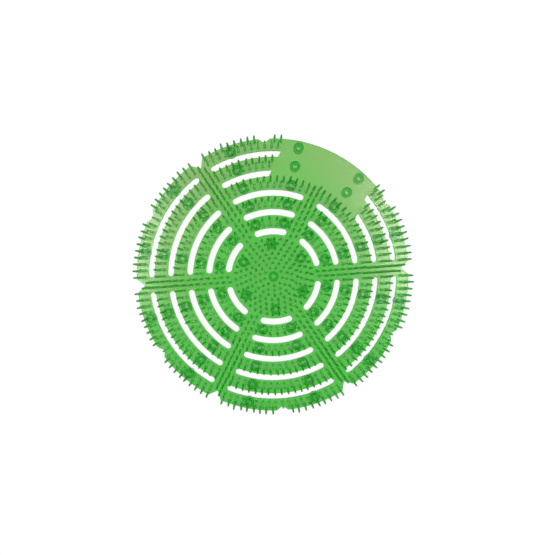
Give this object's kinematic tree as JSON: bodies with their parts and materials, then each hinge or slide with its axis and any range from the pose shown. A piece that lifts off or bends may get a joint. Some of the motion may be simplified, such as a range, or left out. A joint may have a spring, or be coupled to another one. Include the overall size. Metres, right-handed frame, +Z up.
{
  "type": "urinal deodorizer screen",
  "caption": "Soft round urinal screen: a slotted, notched plate on small round feet, covered with rows of slim bristles around a bare label area.",
  "frame": {"origin": "centre of the screen on the plane under its feet", "axes": "+Z up along the bristles, +Y towards the middle of the bare label area"},
  "size_m": [0.1798, 0.1799, 0.0175],
  "materials": {
    "soft_plastic": "soft translucent green, slightly glossy"
  },
  "bodies": {
    "root": {"screen": "soft_plastic"}
  },
  "joints": []
}
